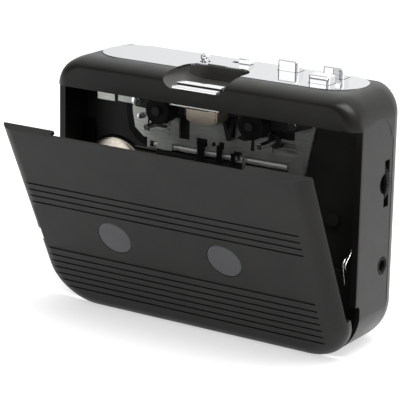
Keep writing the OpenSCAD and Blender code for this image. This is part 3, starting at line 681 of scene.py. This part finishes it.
def door_panel():
    ob = loft("door_panel", [form_ring(y) for y in front_depths])
    step_y = 5.4
    profile = [(-1, 0.5), (DOOR_RIM, 0.5), (DOOR_RIM, 3), (step_y, 8), (step_y, 16.5), (DOOR_RIM, 17.2),
               (DOOR_RIM, DOOR_TOP), (-1, DOOR_TOP)]
    keep_inside(ob, prism("door_side", profile, "X", -OUT, OUT))
    hollow = front_form("hollow", DOOR_SKIN, TOP_EDGE_D + 3)
    keep_inside(hollow, block("below_rim", (-OUT, OUT), (-5, 20), (-5, BEZEL_Z - 1.6)))
    cut(ob, hollow, block("lip", (TAPE_X - 35.4, TAPE_X + 37.4), (1, 10), (CATCH_FOOT, BEZEL_Z)))
    for z in LINES:
        groove = round_rect(LINE_X, (z - LINE_W / 2, z + LINE_W / 2), 0.34, 4)
        cut(ob, prism("line", groove, "Y", -1, LINE_DEEP))
    cut(ob, prism("panel", round_rect(LINE_X, PANEL_Z, 0.4, 4), "Y", -1, LINE_DEEP))
    for x in SPINDLE_X:
        cut(ob, rod("window_hole", "Y", (x, REEL_Z), WINDOW_R, -1, 5, 0, 96))
    cut(ob, block("clip_seat", (-HALF_W - 1, -HALF_W + 1.3), (1, 2.6), (CLIP_Z[0] - 0.1, CLIP_Z[1] + 0.1)))
    soften(ob, 0.12, 2, 50)
    join(ob, *hinge_lobes(), *door_inside())
    finish_piece(ob, "door", door_black, "black_door", "door", open_door=True)


def hinge_lobes():
    lobes = []
    lobe_r, pin_hole_r = 1.8, 0.95
    for side in (1, -1):
        outline = [(0.9, 3.4), (4, 2.85), (HINGE_Y, HINGE_Z - lobe_r)]
        outline += arc(HINGE_Y, HINGE_Z, lobe_r, -90, 80, 14) + [(5, 6.3), (0.9, 9)]
        lobe = prism("lobe", outline, "X", *sorted((side * 38.6, side * 41)))
        pin_hole = rod("pin_hole", "X", (HINGE_Y, HINGE_Z), pin_hole_r, -60, 60, 0)
        lobes.append(soften(cut(lobe, pin_hole), 0.15))
    return lobes


def door_inside():
    """The cassette's shelves, the ribs, the latch's catch and the tab and ear on the door's inner face."""
    skin = DOOR_SKIN - 0.3
    parts = [soften(block("shelf", (x, x + 8), (skin, 12.4), (5.9, 6.8)), 0.15) for x in (-36, 26)]
    parts += [soften(block("rib", (x, x + 1), (skin, 6.4), (10, 52)), 0.15) for x in (-53.9, 48)]
    for y, top in ((0.9, BEZEL_Z - 1.7), (3.3, BEZEL_Z - 0.8)):
        parts.append(soften(block("catch", (TAPE_X - 4, TAPE_X + 4), (y, 3.9), (CATCH_FOOT, top)), 0.12))
    inner_x = HALF_W - WALL
    parts.append(soften(block("side_tab", (inner_x - 2.2, inner_x - 1.1), (1.5, 4.4), (59.7, 67.6)), 0.2))
    ear = [(1, 12), (5, 12), (7.6, 20.6)] + arc(4.6, 21.6, 3.2, -18, 150, 12) + [(1, 22)]
    parts.append(soften(prism("ear", ear, "X", 53.3, 54.7), 0.15))
    return parts


def door_fittings():
    lenses = []
    r, flange_r, back = WINDOW_R - 0.1, WINDOW_R + 1, DOOR_SKIN + 0.7
    profile = [(0, 0.2), (r - 0.5, 0.2), (r - 0.25, 0.26), (r, 0.5), (r, DOOR_SKIN),
               (flange_r, DOOR_SKIN + 0.05), (flange_r, back), (0, back)]
    for x in SPINDLE_X:
        lenses.append(lathe("window_lenses", profile, "Y", (x, REEL_Z), 96))
    finish_piece(join(*lenses), "door", window_grey, "smoked_window", "door_windows", open_door=True)
    depths = [0.5 + 0.3 * i for i in range(8)]
    edge = [(quarter(y, FRONT_EDGE_D, FRONT_EDGE_W) - HALF_W, y) for y in depths]
    outline = [(x - 0.16, y - 0.1) for x, y in edge] + [(x + 0.5, y + 0.2) for x, y in reversed(edge)]
    clip = soften(prism("rim_clip", outline, "Z", *CLIP_Z), 0.08)
    finish_piece(clip, "door", satin, "spring_steel", "door_clip", open_door=True)


# ---------- latch and controls ----------
def latch_parts():
    x = (TAPE_X - 8.5, TAPE_X + 8.5)
    z = NOTCH_FLOOR
    bar = [(0.4, z + 0.15), (3.1, z + 0.15), (3.1, z + 1.1), (1.6, z + 1.1), (0.4, z + 0.75)]
    bar = prism("latch_bar", bar, "X", *x)
    stem = block("stem", (TAPE_X - 5, TAPE_X + 5), (1.75, 3.1), (BEZEL_Z - 1.3, z + 0.3))
    foot = block("foot", (TAPE_X - 8.4, TAPE_X + 8.4), (1.75, 4.4), (BEZEL_Z + 1.15, BEZEL_Z + 1.6))
    ob = join(soften(bar, 0.15, 3), soften(stem, 0.12), soften(foot, 0.1))
    finish_piece(ob, "latch", chrome, "chrome_trim", "latch")
    trim = [(4.4, z - 0.8), (6.3, z - 0.8), (6.3, z + 1.9), (5.3, z + 1.9), (3.5, z + 1.75), (3.5, z + 1.45),
            (4.4, z + 1.45)]
    trim = soften(prism("notch_trim", trim, "X", *x), 0.1, 2)
    finish_piece(trim, "case", chrome, "chrome_trim", "latch_trim")
    # A dark block behind the chrome trim: painted shade where the trim's set-back face lies in shadow.
    shade_block = soften(block("trim_painted_shade", (x[0] + 0.05, x[1] - 0.05), (3.75, 4.38), (z - 0.7, z + 1.42)), 0.05)
    finish_piece(shade_block, "case", inner_black, "dark_plastic")
    strip = block("catch_strip", (TAPE_X - 9.3, TAPE_X + 9.3), (1.08, 1.68), (BEZEL_Z - 0.85, BEZEL_Z + 0.02))
    finish_piece(soften(strip, 0.1), "case", wire, "spring_steel")
    springs = [coil("latch_springs", (TAPE_X + side * 7, 3), 0.8, 0.15, (BEZEL_Z + 1.62, z - 1.22), 3.5)
               for side in (-1, 1)]
    finish_piece(join(*springs), "case", wire, "spring_steel", "latch_spring")


FLANGE_T = 2.3


def push_spring(node, r, wire_r, turns):
    """A coil spring in place of its plain CAD node."""
    x, y = middle(node)[:2]
    spring = coil(node + "_wire", (x, y), r, wire_r, node_box(node)[2], turns)
    finish_piece(spring, "case", wire, "spring_steel", node)


def key(name, node, spring):
    box = node_box(node)
    x, y = middle(node)[:2]
    foot, top = box[2]
    corner = 0.9
    outline = round_rect((x - KEY_W / 2, x + KEY_W / 2), (y - KEY_D / 2, y + KEY_D / 2), corner, 6)
    cap = soften(prism(name, outline, "Z", foot, top), 0.45, 4, 50)
    flange = soften(block("flange", box[0], box[1], (foot, foot + FLANGE_T)), 0.15)
    finish_piece(join(cap, flange), node, chrome, "chrome_trim", node)
    push_spring(spring, 1.4, 0.2, 4)


def knob_and_switch():
    x, y = middle("direction_knob")[:2]
    foot, top = node_box("direction_knob")[2]
    stem_r, knob_r, over = 1.25, 1.6, PLATE_TOP
    profile = [(0, foot), (2.1, foot), (2.1, foot + FLANGE_T), (stem_r, foot + FLANGE_T),
               (stem_r, over + 0.5), (1.55, over + 0.8), (knob_r, over + 1), (knob_r, top - 0.8),
               (1.45, top - 0.45), (1.0, top - 0.3), (0.95, top - 0.08), (0.8, top), (0, top)]
    cap = lathe("direction_knob_cap", profile, "Z", (x, y), 48)
    finish_piece(cap, "direction_knob", chrome, "chrome_trim", "direction_knob")
    push_spring("knob_spring", 1.4, 0.2, 4)
    x, y = middle("mode_switch")[:2]
    outline = [(x - 2.3, over + 0.1), (x + 2.3, over + 0.1), (x + 2.1, over + 1.7)]
    for i in range(4):
        at = x + 1.5 - i
        outline += [(at + 0.2, over + 1.9), (at - 0.2, over + 1.9), (at - 0.5, over + 1.65)]
    outline = outline[:-1] + [(x - 2.1, over + 1.7)]
    cap = soften(prism("mode_switch_cap", outline, "Y", y - 1.5, y + 1.5), 0.14, 2, 30)
    stem = block("stem", (x - 1.9, x + 1.9), (y - 0.8, y + 0.8), (over - 3.2, over + 0.3))
    slide = soften(block("slide", (x - 3, x + 3), (y - 1.6, y + 1.6), (82.6, 83.9)), 0.12)
    finish_piece(join(cap, stem, slide), "mode_switch", chrome, "chrome_trim", "mode_switch")


def volume_parts():
    x, y, z = middle("volume_wheel")
    low, high = node_box("volume_wheel")[2]
    r = (high - low) / 2
    half, teeth = 1.25, 60
    outline = []
    for i in range(teeth):
        for share, depth in ((0, 0.3), (0.25, 0), (0.6, 0), (0.85, 0.3)):
            a = 2 * math.pi * (i + share) / teeth
            outline.append((x + (r - depth) * math.cos(a), z + (r - depth) * math.sin(a)))
    ob = prism("volume_wheel_rim", outline, "Y", y - half, y + half)
    cut(ob, rod("bore", "Y", (x, z), 1.55, 10, 30, 0))
    for side in (-half, half):
        dish = lathe("dish", [(3.2, y + side * 0.6), (r - 1.6, y + side * 0.6), (r - 1.2, y + side * 1.2),
                              (2.8, y + side * 1.2), (3.2, y + side * 0.6)], "Y", (x, z))
        cut(ob, dish)
    soften(ob, 0.12, 2, 60)
    finish_piece(ob, "volume_wheel", soft_black, "dark_plastic", "volume_wheel")
    y, z = middle("headphone_jack")[1:]
    end = HALF_W + 0.08
    bore_r, barrel_r, back = 1.85, 2.9, 45
    barrel = [(bore_r, back), (barrel_r, back), (barrel_r, end - 0.25), (2.65, end), (2.35, end),
              (2.25, end - 0.2), (2.0, end - 0.2), (bore_r, end - 0.35), (bore_r, back)]
    ob = lathe("jack_socket", barrel, "X", (y, z), 64)
    body = block("body", (43.4, 51), (18.3, 23.6), (z - 3, z + 3.4))
    cut(body, rod("bore", "X", (y, z), 2.2, 44.6, 60, 0))
    join(ob, soften(body, 0.2))
    finish_piece(ob, "case", soft_black, "dark_plastic", "headphone_jack")
    ring = [(1.7, end - 7), (bore_r, end - 7), (bore_r, end - 6), (1.7, end - 6), (1.7, end - 7)]
    ring = lathe("jack_contact", ring, "X", (y, z), 48)
    finish_piece(ring, "case", wire, "spring_steel")


# ---------- mechanism ----------
def spring_on_wall():
    wire_r, coil_r, coil_y, coil_z = 0.35, 1.65, 13.6, 33.4
    near_x, far_x = 50.95, 52.65
    far_leg = [(12.4, 34.9), (11.6, 35.2), (10.3, 35.2), (8.6, 33.9), (5.7, 31.3), (5.9, 30.3), (6.7, 29.5)]
    near_leg = [(12, 32.4), (10.6, 32.8), (9.2, 32.7), (7.4, 31), (7.5, 29.4), (8.7, 24)]
    parts = [tube("door_spring_wire", spline([(x, y, z) for y, z in leg]), wire_r)
             for x, leg in ((far_x, far_leg), (near_x, near_leg))]
    turns = []
    for i in range(61):
        a = i * math.pi / 10
        turns.append((near_x + 1.7 * i / 60, coil_y + coil_r * math.cos(a), coil_z + coil_r * math.sin(a)))
    parts.append(tube("turns", turns, wire_r))
    finish_piece(join(*parts), "case", wire, "spring_steel", "door_spring")


def motor_can():
    x, z = MOTOR[0], MOTOR[2]
    r, boss_r, shaft_r, front, back, shaft_end = 12, 3, 0.75, 15.5, 23.6, 27.4
    profile = [(0, front - 0.3), (boss_r, front - 0.3), (boss_r, front), (4.2, front), (4.4, front + 0.25),
               (8.6, front + 0.25), (9, front), (10.8, front), (11.5, front + 0.12), (11.9, front + 0.5),
               (r, front + 1.1), (r, back - 0.4), (11.6, back), (10.8, back), (10.6, back + 0.4),
               (boss_r, back + 0.4), (boss_r, back + 0.7), (shaft_r, back + 0.7), (shaft_r, shaft_end),
               (0, shaft_end)]
    finish_piece(lathe("motor_can", profile, "Y", (x, z), 96), "case", can, "motor_can", "motor")


def screw(name, x, y, z, r, facing=-1):
    """A pan head with a cross recess, facing forward or back."""
    head = lathe(name, [(0, y), (r, y), (r, y + facing * r * 0.25), (r * 0.75, y + facing * r * 0.5),
                        (0, y + facing * r * 0.6)], "Y", (x, z), 32)
    deep = sorted((y + facing * r * 0.3, y + facing * r))
    for a, b in ((r * 0.6, r * 0.14), (r * 0.14, r * 0.6)):
        cut(head, block("slot", (x - a, x + a), deep, (z - b, z + b)))
    return head


def case_screws():
    screws = []
    for x, z in SCREWS:
        shaft = rod("shaft", "Y", (x, z), 1, 21, BODY_D - 0.9, 0.2, 20)
        screws += [screw("rear_screws", x, BODY_D - 0.98, z, 1.85, 1), shaft]
    finish_piece(join(*screws), "case", steel, "bright_steel", "case_screws")


def head_parts():
    low, high = node_box("tape_head")[0]
    centre = (low + high) / 2
    face_z, top_z, half, bulge, curve = 68.6, 73.95, 5.9, 5.4, 0.72
    bow = []
    for i in range(-8, 9):
        t = i / 8
        bow.append((centre + half * t, face_z + bulge * (1 - math.sqrt(1 - (t * curve) ** 2))))
    core = prism("head_core", bow + [(high, top_z), (low, top_z)], "Y", 5.5, 12.8)
    finish_piece(soften(core, 0.18, 3, 30), "carriage", head_metal, "head_metal", "tape_head")
    gap = block("head_gap", (centre + 5.2, centre + 5.55), (5.35, 5.6), (70, 73.9))
    finish_piece(gap, "carriage", brass, "head_metal")


DECK_T = 1
DECK_LEFT, DECK_TOP, DECK_FOOT = -36.5, 75.6, 27
ROD_SLOT_Z = (53.2, 55.4)


def deck():
    """The pressed deck plate, with its slot under the rod, its windows and its round holes."""
    slot_low, slot_top = ROD_SLOT_Z
    outline = [(DECK_LEFT, DECK_TOP), (DECK_LEFT, 67.2), (-35.4, 61.6), (-31.8, 58.8), (-30.4, 58.8),
               (-30.4, slot_top), (7.4, slot_top), (7.4, slot_low), (-30.4, slot_low), (-34, 50),
               (-34, DECK_FOOT), (30, DECK_FOOT), (30, 51), (31.5, 57.3), (34.6, 72), (34.6, DECK_TOP)]
    rod_windows = [((-29.3, -26.2), (55.6, 57.8)), ((-20.4, -9.9), (54, 57.9)), ((-7.6, -2.4), (54, 57.8)),
                   ((-0.6, 3.2), (54, 57.8)), ((8.4, 25), (55, 58))]
    lever_windows = [((-17.6, -13.4), (60.3, 68.4)), ((-10.6, -6.3), (58.9, 61.6)), ((-1.8, 0.2), (59, 61.4)),
                     ((10.5, 11.8), (60.3, 64.7)), ((18.5, 27.6), (60.8, 64.9)), ((29, 30.4), (70.2, 71.2)),
                     ((-30.2, -29.5), (61, 66.4)), ((17.4, 27), (66, 72.4)), ((-28.8, -15.5), (67, 73)),
                     ((0.8, 4.4), (63.4, 70.4)), ((4, 7.2), (56, 59.2))]
    ob = prism("deck_pressing", outline, "Y", DECK_Y, DECK_Y + DECK_T)
    for x, z in rod_windows + lever_windows:
        cut(ob, block("window", x, (DECK_Y - 1, DECK_Y + DECK_T + 1), z))
    holes = [(x, CAPSTAN_Z, 2.5) for x in CAPSTAN_X] + [(x, REEL_Z, 1.05) for x in SPINDLE_X]
    holes += [(MOTOR[0], MOTOR[2], 12.4), (-3.8, 60.3, 0.8)]
    for x, z, r in holes:
        cut(ob, rod("hole", "Y", (x, z), r, 10, 20, 0))
    soften(ob, 0.14, 2, 35)
    finish_piece(ob, "case", zinc, "deck_metal", "deck_plate", smooth=32)


def deck_details():
    """Small parts on the deck plate: louvres, a step behind a window, the left-hand link, straps, and a dark
    strip of painted shadow along the plate's left edge.
    """
    ribs = [soften(block("deck_louvres", (-29.4, -21.4), (DECK_Y - 0.5, DECK_Y + 0.1), (z, z + 0.9)), 0.25, 3)
            for z in (60.4, 62.2, 64)]
    step = soften(block("deck_step", (18, 28), (DECK_Y + 1.02, DECK_Y + 1.35), (60.2, 64.3)), 0.1)
    rib = soften(block("rib", (18.6, 27.4), (DECK_Y + 0.6, DECK_Y + 1.1), (62.2, 62.9)), 0.15)
    finish_piece(join(*ribs, step, rib), "case", zinc, "deck_metal")
    # The link slides in a guide that stands on the chassis.
    guide = soften(block("link_guide", (-49, -41.7), (12.5, 13.3), (70.1, 72.8)), 0.15)
    foot = soften(block("foot", (-49, -47.8), (13.2, 17.4), (70.4, 72.5)), 0.12)
    finish_piece(join(guide, foot), "case", zinc, "deck_metal")
    link = [(-40.4, 70.5), (-31.8, 70.4), (-30.9, 71.6), (-31.8, 72.9), (-40.4, 72.9)]
    link = soften(prism("link", link, "Y", 12.42, 12.62), 0.06)
    finish_piece(link, "arm_left", zinc, "deck_metal")
    stop_pad = soften(block("stop_pad", (-56.3, -52.7), (15.4, 17.3), (50, 61.6)), 0.3)
    finish_piece(stop_pad, "case", soft_black, "dark_plastic")
    straps = [soften(block("rod_straps", x, (DECK_Y - 0.3, DECK_Y + 0.05), (54.1, top)), 0.12)
              for x, top in (((-10.2, -7.3), 60.4), ((-2.6, -0.4), 60.2), ((3, 4.6), 58.4))]
    finish_piece(join(*straps), "case", soft_black, "dark_plastic")
    # A dark strip beside the plate's left edge: painted shadow where the chassis steps back around the plate.
    shadow_strip = [(-39.4, DECK_TOP), (-39.4, 66.4), (-38.2, 60.2), (-34.6, 56.8), (-30.6, 55.4), (-30.6, 58.7),
              (-31.9, 58.7), (-35.5, 61.5), (DECK_LEFT - 0.1, 67.1), (DECK_LEFT - 0.1, DECK_TOP)]
    shadow_strip = soften(prism("deck_painted_shadow", shadow_strip, "Y", DECK_Y + 0.5, DECK_Y + 0.95), 0.1)
    finish_piece(shadow_strip, "case", soft_black, "dark_plastic")


def rollers():
    bore_r, r, front, back, edge = 0.8, 4.6, 6.2, 12.2, 0.3
    profile = [(bore_r, front), (r - edge, front), (r, front + edge), (r, back - edge), (r - edge, back),
               (bore_r, back), (bore_r, front)]
    for side in ("left", "right"):
        node = "pinch_roller_" + side
        x, _, z = middle(node)
        tyre = lathe("roller_tyre_" + side, profile, "Y", (x, z), 64)
        finish_piece(tyre, "roller_" + side, rubber, "black_rubber", node)


def plain_nodes():
    """Mechanism parts that keep their CAD shape, with rounded edges."""
    rows = [
        ("chassis", "case", inner_black, "dark_plastic", 0.2),
        ("battery_tray", "case", inner_black, "dark_plastic", 0.2),
        ("key_bracket", "case", steel, "bright_steel", 0.12),
        ("hinge_pins", "case", wire, "spring_steel", 0.1),
        ("head_carriage", "carriage", chrome, "bright_steel", 0.12),
        ("pinch_arm_left", "arm_left", inner_black, "dark_plastic", 0.12),
        ("pinch_arm_right", "arm_right", inner_black, "dark_plastic", 0.12),
        ("capstan_left", "flywheel_left", steel, "bright_steel", 0.15),
        ("capstan_right", "flywheel_right", steel, "bright_steel", 0.15),
        ("flywheel_left", "flywheel_left", turned, "flywheel_metal", 0.2),
        ("flywheel_right", "flywheel_right", turned, "flywheel_metal", 0.2),
        ("capstan_bushes", "case", inner_black, "dark_plastic", 0.15),
        ("drive_belt", "case", rubber, "black_rubber", 0.1),
        ("motor_pulley", "motor_pulley", brass, "brass", 0.08),
        ("spindle_left", "spindle_left", inner_black, "dark_plastic", 0.14),
        ("spindle_right", "spindle_right", inner_black, "dark_plastic", 0.14),
        ("spindle_posts", "case", steel, "bright_steel", 0.12),
        ("rod_spring", "case", wire, "spring_steel", 0.1),
        ("deck_levers", "case", inner_black, "dark_plastic", 0.12),
        ("pivot_pins", "case", chrome, "bright_steel", 0.15),
        ("circuit_board", "case", board_green, "board_green", 0.12),
        ("volume_pot", "case", inner_black, "dark_plastic", 0.15),
        ("battery_contacts", "case", wire, "spring_steel", 0.06),
    ]
    for node, body, material, slot, edge in rows:
        refined(node, node + "_finish", body, material, slot, edge)


def shift_rod():
    """The change-over rod, turned with four narrow grooves."""
    y, z = middle("shift_rod")[1:]
    x0, x1 = node_box("shift_rod")[0]
    r, edge, groove_r = 1.3, 0.2, 1.05
    profile = [(0, x0), (r - edge, x0), (r, x0 + edge)]
    for at in (-19.6, -10.4, -1.6, 7.4):
        profile += [(r, at), (groove_r, at + 0.15), (groove_r, at + 0.9), (r, at + 1.05)]
    profile += [(r, x1 - edge), (r - edge, x1), (0, x1)]
    ob = lathe("shift_rod_turned", profile, "X", (y, z), 40)
    finish_piece(ob, "shift_rod", satin, "bright_steel", "shift_rod")


# ---------- the object ----------
front_casing()
notch_liner()
rear_casing()
battery_lid()
silver_top()
door_panel()
door_fittings()
latch_parts()
for key_name in ("play", "wind", "stop"):
    key(key_name + "_key_cap", key_name + "_key", key_name + "_spring")
knob_and_switch()
volume_parts()
spring_on_wall()
motor_can()
case_screws()
head_parts()
deck()
deck_details()
rollers()
plain_nodes()
shift_rod()
push_spring("carriage_spring", 0.9, 0.15, 6)


# ---------- floor, light and camera ----------
def white_floor():
    half = 3.0
    mesh = bpy.data.meshes.new("floor")
    corners = [(-half, -half, 0), (half, -half, 0), (half, half, 0), (-half, half, 0)]
    mesh.from_pydata(corners, [], [(0, 1, 2, 3)])
    ob = bpy.data.objects.new("floor", mesh)
    bpy.context.scene.collection.objects.link(ob)
    n = Nodes("floor_white")
    n.link(n.ramp(n.noise(6, 2), (0.58, 0.58, 0.58), (0.61, 0.61, 0.61)), n.shader.inputs["Base Color"])
    n.set(Roughness=0.9, Emission_Color=(1, 1, 1, 1), Emission_Strength=0.55)
    mesh.materials.append(n.material)


def area_light(name, place, aim, size, power):
    data = bpy.data.lights.new(name, "AREA")
    data.shape = "RECTANGLE"
    data.size, data.size_y = size
    data.energy = power
    ob = bpy.data.objects.new(name, data)
    bpy.context.scene.collection.objects.link(ob)
    ob.location = place
    ob.rotation_euler = (Vector(aim) - Vector(place)).to_track_quat("-Z", "Y").to_euler()


# The studio's white walls are behind and to the right; the camera's side of the room is dark.
BRIGHT_SIDE = (0.6, 0.7, 0.38)


def studio():
    world = bpy.data.worlds.new("studio")
    bpy.context.scene.world = world
    world.use_nodes = True
    tree = world.node_tree
    way = tree.nodes.new("ShaderNodeTexCoord").outputs["Generated"]
    dot = tree.nodes.new("ShaderNodeVectorMath")
    dot.operation = "DOT_PRODUCT"
    dot.inputs[1].default_value = BRIGHT_SIDE
    tree.links.new(way, dot.inputs[0])
    spread = tree.nodes.new("ShaderNodeMapRange")
    for key, v in zip(("From Min", "From Max", "To Min", "To Max"), (-0.7, 0.5, 0.14, 1.2)):
        spread.inputs[key].default_value = v
    tree.links.new(dot.outputs["Value"], spread.inputs["Value"])
    tree.links.new(spread.outputs["Result"], tree.nodes["Background"].inputs["Strength"])
    tree.nodes["Background"].inputs["Color"].default_value = (1, 1, 1, 1)
    area_light("top_soft", (0.25, -0.1, 0.75), (0, 0, 0.04), (0.5, 0.5), 6)
    area_light("front_left_soft", (-0.55, -0.86, 0.3), (0, 0, 0.07), (0.45, 0.3), 0.62)
    area_light("right_soft", (0.8, 0.45, 0.2), (0, 0, 0.05), (0.5, 0.4), 0.8)
    bpy.context.scene.view_settings.view_transform = "Standard"


def camera():
    azimuth, elevation, roll = math.radians(32.572), math.radians(15.822), math.radians(1.108)
    forward = Vector((-math.sin(azimuth) * math.cos(elevation), math.cos(azimuth) * math.cos(elevation),
                      -math.sin(elevation)))
    level = Vector((math.cos(azimuth), math.sin(azimuth), 0))
    up = level.cross(forward)
    right = level * math.cos(roll) + up * math.sin(roll)
    up = right.cross(forward)
    data = bpy.data.cameras.new("camera")
    data.lens = 182.3
    data.sensor_width = 36
    ob = bpy.data.objects.new("camera", data)
    bpy.context.scene.collection.objects.link(ob)
    m = Matrix((right, up, -forward)).transposed().to_4x4()
    m.translation = (0.3427, -0.5511, 0.2253)
    ob.matrix_world = m
    bpy.context.scene.camera = ob


white_floor()
studio()
camera()
